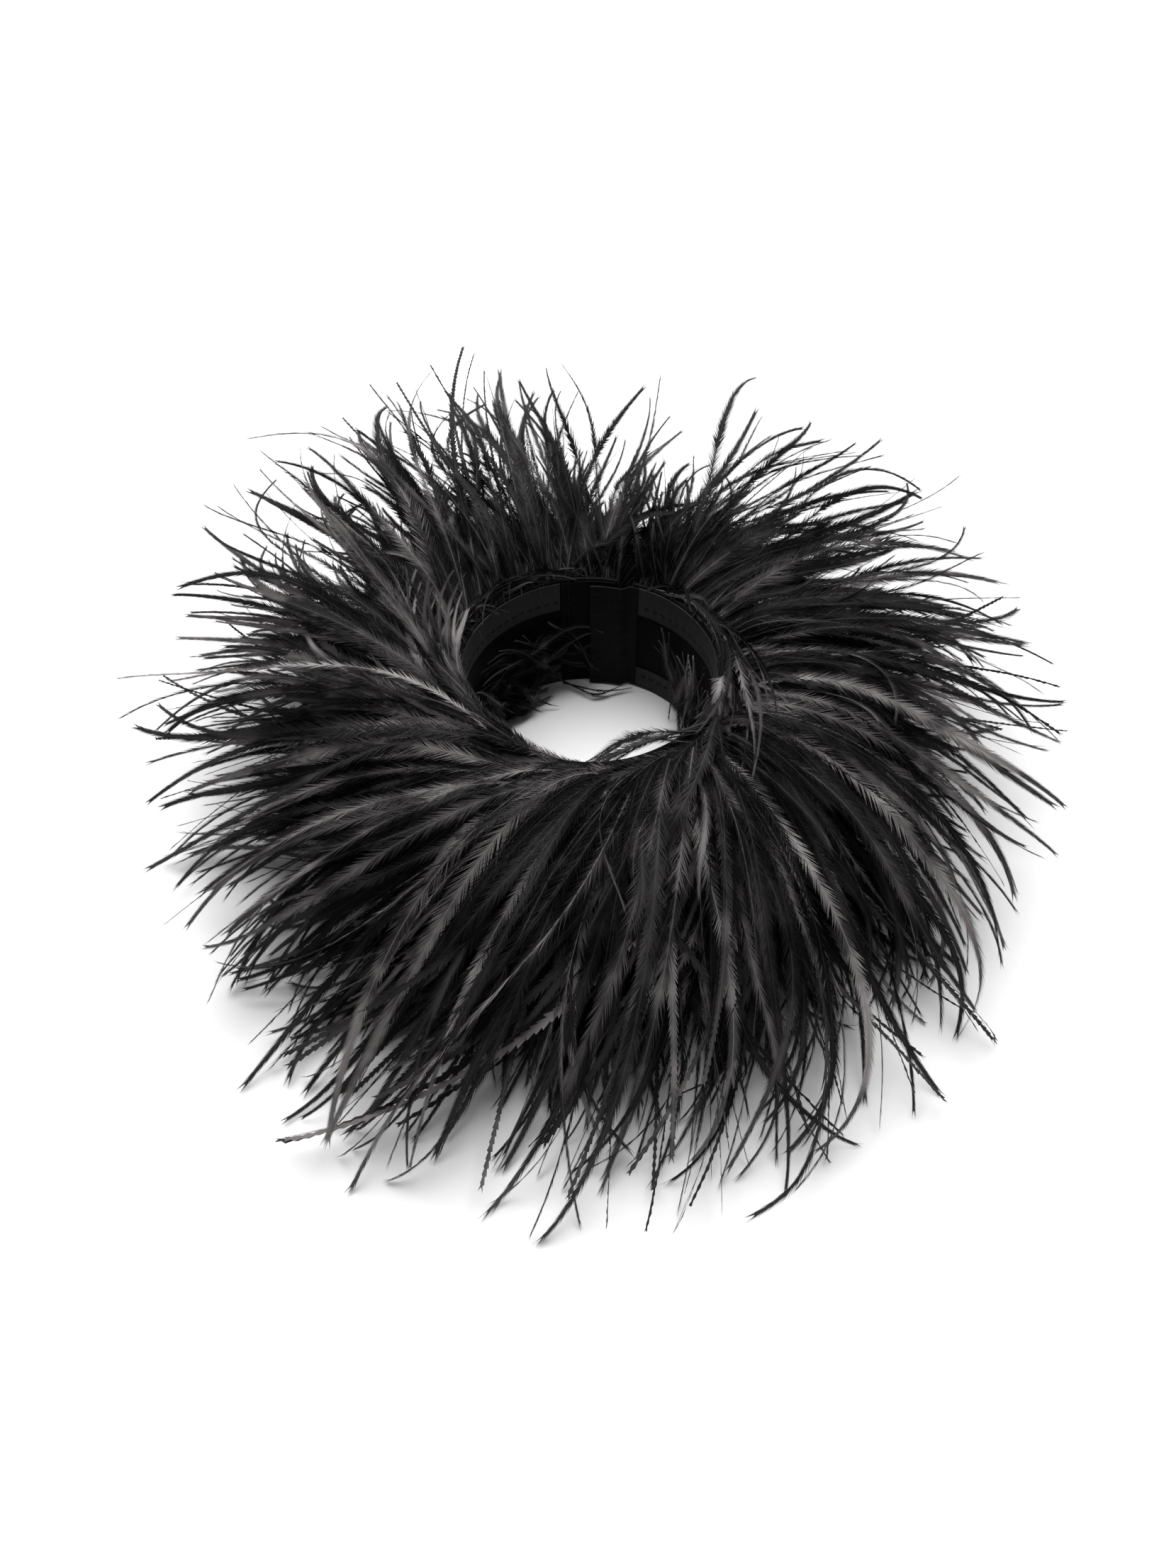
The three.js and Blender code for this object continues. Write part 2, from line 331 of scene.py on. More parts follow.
def usual_reach(azimuth):
    """How far from the axis most flues end: farther at the front, less far at the back."""
    return 112 + 17 * np.maximum(0, -np.sin(np.radians(azimuth))) ** 2 - 13 * bump(azimuth, 88, 55)


def longest_reach(azimuth):
    """How far from the axis the long flues end."""
    return 131 + 14 * bump(azimuth, 270, 40) - 2 * bump(azimuth, 90, 40)


def usual_height(azimuth):
    """How high the upper flues end: they stand up at the back and come down to the floor at the front."""
    back = np.sin(np.radians(azimuth))
    return 21 + np.where(back > 0, 14, 20) * back


def largest_reach(azimuth):
    """How far from the axis anything may come."""
    return 134 + 12 * bump(azimuth, 270, 40)


def wildness(azimuth):
    """Flues cross each other more at the front than at the back."""
    return 1 - 0.35 * bump(azimuth, 95, 50) + 0.25 * bump(azimuth, 285, 50)


def bezier(corners, t):
    """Cubic curves, one for each row of the four arrays of corners."""
    a, b, c, d = (p[:, None, :] for p in corners)
    t = t[None, :, None]
    u = 1 - t
    return a * u**3 + 3 * b * u**2 * t + 3 * c * u * t**2 + d * t**3


def soft_low(x, limit, softness):
    """x, but never below a limit, with a smooth turn there."""
    return limit + 0.5 * (x - limit + np.sqrt((x - limit) ** 2 + softness**2))


def lift_off_floor(points, clearance, softness=1.6):
    """Points that would pass through the floor bend along it instead."""
    points[..., 2] = soft_low(points[..., 2], clearance, softness)
    return points


def clump_numbers(rng, count):
    """A clump number for each flue: locks of three to eight flues lie together."""
    numbers = []
    clump = 0
    while len(numbers) < count:
        numbers += [clump] * int(rng.integers(3, 9))
        clump += 1
    return np.array(numbers[:count])


def keep_within(points, radius):
    """Points that would cut through the band go round it, and those too far out or up are drawn back."""
    far = np.linalg.norm(points[..., :2], axis=-1)
    wanted = -soft_low(-soft_low(far, radius, 1.0), -largest_reach(azimuth_of(points)), 4.0)
    points[..., :2] *= (wanted / far)[..., None]
    points[..., 2] = -soft_low(-points[..., 2], -HIGHEST, 3.0)
    return points


def unevenness(rng, clump):
    """A function that draws how much flues differ in something, mostly by the locks that they are in."""

    def differing(kind):
        from_lock, own = SPREAD[kind]
        return rng.normal(0, from_lock, clump[-1] + 1)[clump] + rng.normal(0, own, len(clump))

    return differing


def flue_roots(rng, row, first, last, clump, differing):
    """Where the flues of a bunch leave their header tape: their azimuths, and the points."""
    low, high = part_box("fringe_header_" + row)
    _, surface = reach_of("fringe_header_" + row)
    clumps = clump[-1] + 1
    middles = np.linspace(first, last, clumps + 1)[:-1] + (last - first) / clumps / 2
    root = np.clip(middles[clump] + differing("root"), first, last)
    height = (low.z + high.z) / 2 / MM + rng.uniform(-ROOT_SPREAD, ROOT_SPREAD, len(clump))
    return root, polar(surface + 0.1, root, height)


def flue_spans(rng, row, short, root, clump, differing):
    """How far each flue goes, the azimuth that it goes towards, and whether it is a long one."""
    count = len(clump)
    _, surface = reach_of("fringe_header_" + row)
    lean = from_pairs(LEAN, root) + differing("lean")
    share = rng.uniform(*ROWS[row]["reach"], clump[-1] + 1)[clump] + rng.normal(0, REACH_SPREAD, count)
    towards = root - 0.8 * lean
    reach = usual_reach(towards) * share
    long = (rng.random(count) < LONG_SHARE) & (row == "upper") & (not short)
    reach = np.where(long, longest_reach(towards) * rng.uniform(*LONG_REACH, count), reach)
    if short:
        reach = surface + rng.uniform(*SHORT_REACH, count)
    return distance_to_reach(surface, lean, reach), root - lean, long


def flue_lines(rng, row, first, last, short):
    """Middle lines of the flues of one bunch, each from header to tip, and their clump numbers."""
    sizes = ROWS[row]
    fullness = from_pairs(FULLNESS, (first + last) / 2)
    count = int(fullness * (sizes["shorts"] if short else sizes["flues"]))
    clump = clump_numbers(rng, count)
    differing = unevenness(rng, clump)
    root, start = flue_roots(rng, row, first, last, clump, differing)
    span, chord, long = flue_spans(rng, row, short, root, clump, differing)

    end = start + polar(span, chord, 0)
    tip = azimuth_of(end)
    towards_back = np.sin(np.radians(tip))
    height = sizes["height"] * (usual_height(tip) + differing("height"))
    height += np.where(long, 6 + 7 * towards_back, 0)
    if short:
        height = start[:, 2] + rng.uniform(*SHORT_RISE, count)
    end[:, 2] = np.maximum(height, LOWEST_TIP)

    turn = from_pairs(TURN, root)
    wild = wildness(tip)
    leave = chord - turn + differing("leave") * wild
    first_rise = rng.uniform(*sizes["start"], clump[-1] + 1)[clump]
    rise = np.radians(first_rise + rng.normal(0, RISE_SPREAD, count))
    settle = chord + turn + differing("settle") * np.where(long, 1.3, 1) * wild
    dip = np.radians(-16 + 20 * towards_back + differing("dip"))
    first_way = polar(np.cos(rise), leave, np.sin(rise))
    last_way = polar(np.cos(dip), settle, np.sin(dip))
    second = start + first_way * (span * rng.uniform(*FIRST_HANDLE, count))[:, None]
    third = end - last_way * (span * rng.uniform(*LAST_HANDLE, count))[:, None]

    t = np.linspace(0, 1, STATIONS + 1)
    lines = bezier((start, second, third, end), t)
    phase = t[None, :] * rng.uniform(*WAVES, count)[:, None] + rng.uniform(0, 6.28, count)[:, None]
    wave = (differing("wave") * wild)[:, None] * np.sin(phase) * t[None, :]
    wave = wave + (differing("curl") * wild)[:, None] * t[None, :] ** 3.5
    across = unit(np.cross(end - start, UP))
    lines = lines + across[:, None, :] * wave[..., None]
    _, surface = reach_of("fringe_header_" + row)
    return keep_within(lift_off_floor(lines, FLOOR_CLEARANCE + 0.5), surface), clump


def flue_frames(lines, roll, twist):
    """Tangent, across and upward unit vectors along every flue."""
    t = np.linspace(0, 1, lines.shape[1])
    tangent = unit(np.gradient(lines, axis=1))
    side = unit(np.cross(tangent, UP))
    normal = np.cross(side, tangent)
    angle = (roll[:, None] + twist[:, None] * t[None, :])[..., None]
    across = side * np.cos(angle) + normal * np.sin(angle)
    return tangent, across, np.cross(across, tangent)


def barbs(rng, lines, frames, length, fine_share):
    """Two rows of pointed barbs along every flue, hair-fine at first and wider beyond fine_share.

    They grow longer from the root on, and towards the tip they shorten, close up and lie more evenly.
    Also returned is how far along its barb each point is.
    """
    count, stations = lines.shape[:2]
    tangent, across, upward = frames
    t = np.linspace(0, 1, stations)[:-1]
    profile = (0.3 + 0.7 * smoothstep(t, 0.02, 0.3)) * (1 - 0.4 * smoothstep(t, 0.75, 1.0))
    uneven = 1 - 0.75 * smoothstep(t, 0.4, 0.85)
    opening = np.where(rng.random(count) < CLOSED_SHARE, CLOSED_ANGLE, 1)[:, None]
    angle = BARB_ANGLE * opening * (1 - 0.55 * smoothstep(t, 0.45, 0.9))
    points = [lines.reshape(-1, 3)]
    marks = [np.zeros(count * stations)]
    faces = []
    place = np.arange(stations - 1)[None, :]
    flue = np.arange(count)[:, None] * stations
    base = flue + place
    after = flue + np.minimum(place + np.where(t < fine_share, 1, 2), stations - 1)
    for number, sign in enumerate((1, -1)):
        jitter = rng.uniform(-0.25, 0.1, (count, stations - 1)) * uneven
        long = length[:, None] * profile * (1 + jitter)
        spread = np.radians(angle * (1 + rng.normal(0, 0.14, (count, stations - 1)) * uneven))
        lift = (0.03 + rng.normal(0, 0.1, (count, stations - 1)) * uneven) * long
        tips = (
            lines[:, :-1]
            + tangent[:, :-1] * (long * np.cos(spread))[..., None]
            + across[:, :-1] * (sign * long * np.sin(spread))[..., None]
            + upward[:, :-1] * lift[..., None]
        )
        tips[..., 2] = np.maximum(tips[..., 2], FLOOR_CLEARANCE)
        points.append(tips.reshape(-1, 3))
        marks.append(np.ones(count * (stations - 1)))
        earlier = count * stations + number * count * (stations - 1)
        tip = earlier + np.arange(count * (stations - 1))
        corners = [base.ravel(), after.ravel(), tip]
        faces.append(np.stack(corners[::sign], axis=-1))
    return np.concatenate(points), np.concatenate(faces), np.concatenate(marks)


def shafts(lines, frames, first_point):
    """A tapered three-sided quill along every flue, closed at both ends."""
    count, stations = lines.shape[:2]
    picked = np.linspace(0, stations - 1, SHAFT_RINGS).astype(int)
    radius = np.linspace(*SHAFT_RADIUS, SHAFT_RINGS)[None, :, None, None]
    turn = np.radians([90, 210, 330])
    across = frames[1][:, picked, None, :] * np.cos(turn)[None, None, :, None]
    upward = frames[2][:, picked, None, :] * np.sin(turn)[None, None, :, None]
    points = lines[:, picked, None, :] + radius * (across + upward)
    points[..., 2] = np.maximum(points[..., 2], FLOOR_CLEARANCE)
    number = first_point + np.arange(count * SHAFT_RINGS * 3).reshape(count, SHAFT_RINGS, 3)
    near, far = number[:, :-1], number[:, 1:]
    turned_near, turned_far = np.roll(near, -1, axis=2), np.roll(far, -1, axis=2)
    one = np.stack([near, turned_near, turned_far], axis=-1).reshape(-1, 3)
    two = np.stack([near, turned_far, far], axis=-1).reshape(-1, 3)
    ends = np.concatenate([number[:, 0, ::-1], number[:, -1]])
    return points.reshape(-1, 3), np.concatenate([one, two, ends])


def flue_tones(rng, lines, tones, clump):
    """How light each flue is painted: most are dark, lock by lock, some are painted lighter as if they catch
    the light, and all are painted lighter or darker by the side they point to.
    """
    towards = azimuth_of(lines[:, -1]) % 360
    own = rng.random(len(lines))
    light = 0.45 * rng.random(clump.max() + 1)[clump] ** 2.4 * own
    # Painted highlight: a share of the flues gets light tones, as if lit.
    light = np.where(own > 1 - LIT_SHARE, rng.uniform(*LIT_TONES, len(lines)), light)
    return tones[0] + (tones[1] - tones[0]) * light * from_pairs(PAINTED_LIGHT_BY_SIDE, towards)


def add_flues(name, lines, length, tones, rng, material, fine_share=0.4, clump=None):
    """One piece made of many flues, with the attributes that their material reads."""
    count, stations = lines.shape[:2]
    clump = np.arange(count) if clump is None else clump
    roll = rng.normal(0, 0.75, count)
    twist = rng.normal(0, 1.0, count)
    frames = flue_frames(lines, roll, twist)
    points, faces, barb = barbs(rng, lines, frames, length, fine_share)
    quill_points, quill_faces = shafts(lines, frames, len(points))
    all_points = np.concatenate([points, quill_points])
    piece = add_object(name, all_points, np.concatenate([faces, quill_faces]), material)
    tone = flue_tones(rng, lines, tones, clump)
    t = np.linspace(0, 1, stations)
    quill_t = np.repeat(np.linspace(0, 1, SHAFT_RINGS), 3)
    parts = (t, t[:-1], t[:-1], quill_t)
    add_attribute(piece, "along", np.concatenate([np.tile(part, count) for part in parts]))
    add_attribute(piece, "tone", np.concatenate([np.repeat(tone, len(part)) for part in parts]))
    add_attribute(piece, "barb", np.concatenate([barb, np.zeros(len(quill_points))]))
    return piece


def barb_lengths(rng, count):
    """Lengths of the longest barbs of each flue: some flues are full and wide, the others slim."""
    full = rng.random(count) < FULL_SHARE
    return np.where(full, rng.uniform(*FULL_BARBS, count), rng.uniform(*SLIM_BARBS, count))


def add_fringe(materials):
    """Every bunch of flues, in place of its CAD lobe."""
    step = 360 / BUNCHES
    for row_number, row in enumerate(ROWS):
        for i in range(BUNCHES):
            rng = np.random.default_rng(1000 * row_number + i)
            first = max(FIRST_ROOT, NOTCH + step * i)
            last = min(LAST_ROOT, NOTCH + step * (i + 1))
            made = [flue_lines(rng, row, first, last, short) for short in (False, True)]
            lines, clump = (np.concatenate(both) for both in zip(*made))
            tag = f"{row}_{i + 1:02d}"
            lengths = barb_lengths(rng, len(lines))
            tones, fine_share = ROWS[row]["tone"], ROWS[row]["fine_share"]
            piece = add_flues(
                "flues_" + tag, lines, lengths, tones, rng, materials[row], fine_share, clump
            )
            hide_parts("flue_bunch_" + tag)
            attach(piece, "cuff")


# Loose strands: how many, the ranges of (radius, azimuth, height) that they run from and to, how far they
# bulge out and up on the way, the size of their ripples, and the ranges of their barbs' length and tone.
# First those along the rim, over the notch and out beyond the bunches, then those inside the ring.
RIM_STRANDS = {
    "rim_strands_left": {
        "count": 90, "from": ((37.8, 38.6), (228, 292), (32, 37)), "to": ((37, 62), (142, 205), (41, 49)),
        "bulge": (-3.2, 4), "ripple": 0.9, "barbs": (2.8, 4.6), "tone": (0.03, 1),
    },
    "rim_strands_front": {
        "count": 80, "from": ((37.8, 38.6), (268, 328), (32, 38)), "to": ((38, 62), (218, 268), (32, 41)),
        "bulge": (-1.2, 3.5), "ripple": 0.9, "barbs": (3.0, 5.4), "tone": (0.03, 1),
    },
    "rim_sweep_front": {
        "count": 90, "from": ((37.8, 38.6), (284, 345), (32, 38)), "to": ((64, 128), (230, 286), (3, 22)),
        "bulge": (-1, 13), "ripple": 2.6, "barbs": (4.0, 7.0), "tone": (0.06, 1),
    },
    "rim_strands_right": {
        "count": 34, "from": ((37.8, 38.6), (350, 408), (34, 38)), "to": ((38, 62), (312, 350), (36, 44)),
        "bulge": (-2, 7), "ripple": 0.9, "barbs": (3.0, 5.2), "tone": (0.03, 1),
    },
    "rim_strands_right_edge": {
        "count": 22, "from": ((37.4, 38.4), (385, 425), (36, 40)), "to": ((35.6, 40), (318, 352), (41, 44)),
        "bulge": (-1.6, 3), "ripple": 0.7, "barbs": (2.4, 3.8), "tone": (0, 0.6),
    },
    "rim_strands_back": {
        "count": 60, "from": ((37.8, 39.5), (79, 104), (24, 38)), "to": ((44, 84), (62, 84), (24, 46)),
        "bulge": (3, 5), "ripple": 0.9, "barbs": (2.6, 4.2), "tone": (0, 0.3),
    },
    "rim_strands_back_right": {
        "count": 60, "from": ((37.8, 39.5), (46, 69), (24, 38)), "to": ((46, 88), (60, 80), (26, 48)),
        "bulge": (0, 4), "ripple": 0.9, "barbs": (2.6, 4.2), "tone": (0, 0.3),
    },
    "notch_strands": {
        "count": 110, "from": ((37.8, 39), (68, 80), (8, 36)), "to": ((58, 100), (64, 88), (3, 34)),
        "bulge": (0, 4), "ripple": 1.2, "barbs": (3.4, 5.4), "tone": (0, 0.15),
    },
    "rim_twigs": {
        "count": 5, "from": ((37.5, 39), (308, 326), (40, 42)), "to": ((34, 37.5), (258, 276), (38.5, 41)),
        "bulge": (-6, 1.5), "ripple": 0.5, "barbs": (3.4, 4.6), "tone": (0, 0.5),
    },
    "rim_fuzz_left": {
        "count": 70, "from": ((37.8, 38.4), (96, 200), (35, 38)), "to": ((33.4, 37), (88, 200), (38, 42.5)),
        "bulge": (0.8, 3.5), "ripple": 0.8, "barbs": (1.8, 3.0), "tone": (0, 0.5),
    },
    "rim_fuzz_right": {
        "count": 44, "from": ((37.8, 38.4), (12, 66), (35, 38)), "to": ((33.8, 37), (0, 66), (38, 42.5)),
        "bulge": (0.8, 3.5), "ripple": 0.8, "barbs": (1.8, 3.0), "tone": (0, 0.5),
    },
    "lone_tips_back": {
        "count": 13, "from": ((37.8, 38.6), (92, 158), (30, 38)), "to": ((106, 130), (86, 140), (40, 66)),
        "bulge": (-2, 5), "ripple": 2.4, "barbs": (3.0, 4.8), "tone": (0.04, 0.6),
    },
    "lone_tips_left": {
        "count": 14, "from": ((37.8, 38.6), (170, 240), (30, 38)), "to": ((108, 132), (138, 215), (14, 36)),
        "bulge": (-2, 7), "ripple": 2.4, "barbs": (3.0, 4.8), "tone": (0.04, 0.7),
    },
    "lone_tips_front": {
        "count": 26, "from": ((37.8, 38.6), (262, 350), (30, 38)), "to": ((122, 144), (240, 322), (1, 12)),
        "bulge": (2, 9), "ripple": 2.4, "barbs": (3.6, 5.6), "tone": (0.04, 0.9),
    },
    "lone_tips_right": {
        "count": 14, "from": ((37.8, 38.6), (345, 408), (30, 38)), "to": ((112, 132), (328, 392), (8, 40)),
        "bulge": (2, 8), "ripple": 2.4, "barbs": (3.2, 5.0), "tone": (0.04, 0.8),
    },
}
INNER_STRANDS = {
    "inner_strands_right": {
        "count": 36, "from": ((32.6, 34), (350, 418), (20, 30)), "to": ((27, 32), (335, 398), (1.2, 9)),
        "bulge": (-2, 0), "ripple": 1.4, "barbs": (2.8, 4.2), "tone": (0.05, 0.8),
    },
    "inner_strands_left": {
        "count": 150, "from": ((32.0, 34), (128, 230), (1, 20)), "to": ((25.5, 33), (112, 205), (1, 11)),
        "bulge": (-1.5, 2.5), "ripple": 2.2, "barbs": (3.0, 4.6), "tone": (0, 0.5),
    },
    "inner_strands_back": {
        "count": 26, "from": ((32.6, 34), (100, 165), (8, 28)), "to": ((29, 33), (84, 124), (6, 24)),
        "bulge": (-2.5, 1), "ripple": 2.0, "barbs": (2.6, 4.0), "tone": (0.1, 1),
    },
    "inner_strands_floor": {
        "count": 2, "from": ((31, 33), (102, 108), (1, 3)), "to": ((31, 33), (60, 72), (1, 4)),
        "bulge": (-6, 0.5), "ripple": 0.6, "barbs": (1.6, 2.4), "tone": (0, 0.3),
    },
}
# The darker material is the feather painted with shade.
DARK_TONE = 0.3  # strands that are never lighter than this get the darker material


def strand_lines(rng, kind):
    """Curved lines between two ranges of places, drawn in radius, azimuth and height."""
    count = kind["count"]
    t = np.linspace(0, 1, STATIONS // 2 + 1)[None, :]
    tracks = []
    for starts, ends, power in zip(kind["from"], kind["to"], (2, 1, 1)):
        first = rng.uniform(*starts, count)[:, None]
        last = rng.uniform(*ends, count)[:, None]
        tracks.append(first + (last - first) * t**power)
    radius, azimuth, height = tracks
    out, up = kind["bulge"]
    swell = np.sin(np.pi * t) * rng.uniform(0.5, 1.3, count)[:, None]
    phase = rng.uniform(0, 6.28, count)[:, None]
    ripple = np.sin(t * rng.uniform(*WAVES, count)[:, None] + phase) * t
    radius = radius + out * swell + kind["ripple"] * ripple
    height = height + up * swell + 1.5 * kind["ripple"] * ripple
    return keep_within(lift_off_floor(polar(radius, azimuth, height), FLOOR_CLEARANCE + 0.5), 0)


def add_strands(kinds, material):
    """One piece for each kind of loose strands."""
    for number, (name, kind) in enumerate(kinds.items()):
        rng = np.random.default_rng(5000 + number)
        lengths = rng.uniform(*kind["barbs"], kind["count"])
        piece = add_flues(name, strand_lines(rng, kind), lengths, kind["tone"], rng, material)
        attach(piece, "cuff")


# ---- Cloth ----

STITCH_PITCH = 2.7
STITCH_LENGTH = 1.75
THREAD_RADIUS = 0.17
# The stitch rows: heights above the floor of those that go round, azimuths of those that go up.
TOP_STITCH_HEIGHT = 32.6
BOTTOM_STITCH_HEIGHT = 5.2
TAB_STITCH_AZIMUTH = 87.2
FACING_STITCH_AZIMUTH = 101.5
# The closure tab, as azimuths: where it is sewn on, where it steps inwards from and to, its free edge, and
# how wide its hem is.
TAB_SEWN_FROM = 67.4
TAB_ROOT = 70.6
TAB_STEP_END = 75.5
TAB_EDGE = 91
TAB_HEM = 6.5
TAB_HALF_THICKNESS = 0.24


def cloth_slab(name, azimuths, heights, inner, outer, material):
    """A closed piece of cloth between two surfaces, given as radii over azimuths and heights."""
    az, z = np.meshgrid(azimuths, heights, indexing="ij")
    inside, outside = polar(inner(az, z), az, z), polar(outer(az, z), az, z)
    columns, rows = az.shape
    total = columns * rows
    number = np.arange(total).reshape(columns, rows)
    a, b, c, d = number[:-1, :-1], number[1:, :-1], number[1:, 1:], number[:-1, 1:]
    faces = [
        np.stack([a, d, c, b], -1).reshape(-1, 4),
        total + np.stack([a, b, c, d], -1).reshape(-1, 4),
    ]
    for edge in (number[:, 0], number[::-1, -1], number[-1, :], number[0, ::-1]):
        one, two = edge[:-1], edge[1:]
        faces.append(np.stack([one, two, two + total, one + total], -1))
    points = np.concatenate([inside.reshape(-1, 3), outside.reshape(-1, 3)])
    piece = add_object(name, points, np.concatenate(faces), material)
    mid = (inner(az, z) + outer(az, z)) / 2
    add_attribute(piece, "around", np.tile((np.radians(az) * mid).ravel(), 2))
    add_attribute(piece, "up", np.tile(z.ravel(), 2))
    mark_sharp_edges(piece)
    return piece


def mark_sharp_edges(piece, angle=40):
    piece.data.set_sharp_from_angle(angle=math.radians(angle))


def grid(low, high, spacing):
    """Evenly spaced values, about so far apart."""
    return np.linspace(low, high, max(2, int(round((high - low) / spacing)) + 1))


def span_of(node_name):
    """Lowest and highest height and first and last azimuth of a CAD wall, in this file's units."""
    low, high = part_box(node_name)
    points = [v.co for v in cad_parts[node_name].data.vertices]
    around = [(math.degrees(math.atan2(p.y, p.x)) - NOTCH) % 360 + NOTCH for p in points]
    return low.z / MM, high.z / MM, min(around), max(around)


def add_wall(name, node_name, material, dents, spacing=0.45):
    """A cloth wall in place of a CAD wall: dents(azimuth, height) says how far it is drawn outwards."""
    inner, outer = reach_of(node_name)
    bottom, top, first, last = span_of(node_name)
    arc = math.degrees(spacing / inner)
    piece = cloth_slab(
        name,
        grid(first, last, arc),
        grid(bottom, top, 0.7),
        lambda az, z: inner + dents(az, z),
        lambda az, z: outer + 0.5 * dents(az, z),
        material,
    )
    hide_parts(node_name)
    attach(piece, "cuff")
    return piece


def drawn_in(distance, along):
    """How far cloth is pulled down by stitches at a distance from their row, all in millimetres."""
    pull = 0.5 - 0.5 * np.cos(2 * np.pi * along / STITCH_PITCH)
    return 0.10 * (1 - 0.7 * pull) * np.exp(-((distance / 0.9) ** 2))


def slack(az, z, size, seed):
    """Slow, uneven waves of cloth that isn't stretched tight."""
    return size * (
        np.sin(np.radians(az) * 9 + seed + z * 0.11) * 0.5
        + np.sin(np.radians(az) * 17 - seed * 2 + z * 0.21) * 0.3
        + np.sin(np.radians(az) * 31 + seed * 3 - z * 0.37) * 0.2
    )


def add_stitches(name, places, ways, outwards, material):
    """Separate stitches: short bowed threads that dive into the cloth at both ends."""
    rings, sides = 7, 6
    t = np.linspace(-1, 1, rings)
    bow = THREAD_RADIUS * (0.9 - 1.5 * t**4)
    thick = THREAD_RADIUS * (1 - 0.55 * t**6)
    count = len(places)
    middle = (
        places[:, None, :]
        + ways[:, None, :] * (t * STITCH_LENGTH / 2)[None, :, None]
        + outwards[:, None, :] * bow[None, :, None]
    )
    third = np.cross(ways, outwards)
    turn = np.linspace(0, 2 * np.pi, sides, endpoint=False)
    ring = (
        outwards[:, None, None, :] * np.cos(turn)[None, None, :, None]
        + third[:, None, None, :] * np.sin(turn)[None, None, :, None]
    )
    points = middle[:, :, None, :] + ring * thick[None, :, None, None]
    number = np.arange(count * rings * sides).reshape(count, rings, sides)
    near, far = number[:, :-1], number[:, 1:]
    beside = [np.roll(x, -1, axis=2) for x in (near, far)]
    faces = np.stack([near, beside[0], beside[1], far], -1).reshape(-1, 4).tolist()
    faces += number[:, 0, ::-1].tolist() + number[:, -1].tolist()
    return add_object(name, points.reshape(-1, 3), faces, material)


def row_of_stitches(name, radius, first, last, height, material):
    """Stitches round the inside of the ring."""
    arc = math.degrees(STITCH_PITCH / radius)
    azimuth = np.arange(first + arc / 2, last, arc)
    ways = polar(1, azimuth + 90, 0)
    return add_stitches(name, polar(radius, azimuth, height), ways, -polar(1, azimuth, 0), material)


def column_of_stitches(name, radius, azimuth, bottom, top, material):
    """Stitches up the inside of the ring."""
    height = np.arange(bottom + STITCH_PITCH / 2, top, STITCH_PITCH)
    azimuths = np.full(len(height), azimuth)
    ways = np.tile(UP, (len(height), 1))
    return add_stitches(name, polar(radius, azimuths, height), ways, -polar(1, azimuths, 0), material)


def add_walls(materials):
    """The band, the two tapes, the facing of its left end and the three header tapes, with their stitches."""
    band = add_wall(
        "band_cloth",
        "band_lining",
        materials["band"],
        lambda az, z: slack(az, z, 0.1, 1),
        spacing=0.8,
    )
    tapes = (("top_tape", TOP_STITCH_HEIGHT, 2), ("bottom_tape", BOTTOM_STITCH_HEIGHT, 5))
    for name, stitch_height, seed in tapes:
        inner, _ = reach_of(name)
        _, _, first, last = span_of(name)

        def dents(az, z, inner=inner, stitch_height=stitch_height, seed=seed):
            along = np.radians(az) * inner
            return drawn_in(z - stitch_height, along) + slack(az, z, 0.07, seed)

        add_wall(name + "_ribbon", name, materials["ribbon"], dents)
        stitches = row_of_stitches(
            name + "_stitches", inner, first, last, stitch_height, materials["thread"]
        )
        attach(stitches, "cuff")
    inner, _ = reach_of("left_end_facing")
    bottom, top, _, _ = span_of("left_end_facing")

    def facing_dents(az, z):
        return drawn_in(np.radians(az - FACING_STITCH_AZIMUTH) * inner, z) + slack(az, z, 0.05, 8)

    facing = add_wall("left_end_facing_cloth", "left_end_facing", materials["band"], facing_dents)
    stitches = column_of_stitches(
        "facing_stitches", inner, FACING_STITCH_AZIMUTH, bottom, top, materials["thread"]
    )
    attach(stitches, "cuff")
    for row in ROWS:
        header = "fringe_header_" + row
        piece = add_wall(
            header + "_tape",
            header,
            materials["header"],
            lambda az, z: slack(az, z, 0.08, 3),
            spacing=0.8,
        )


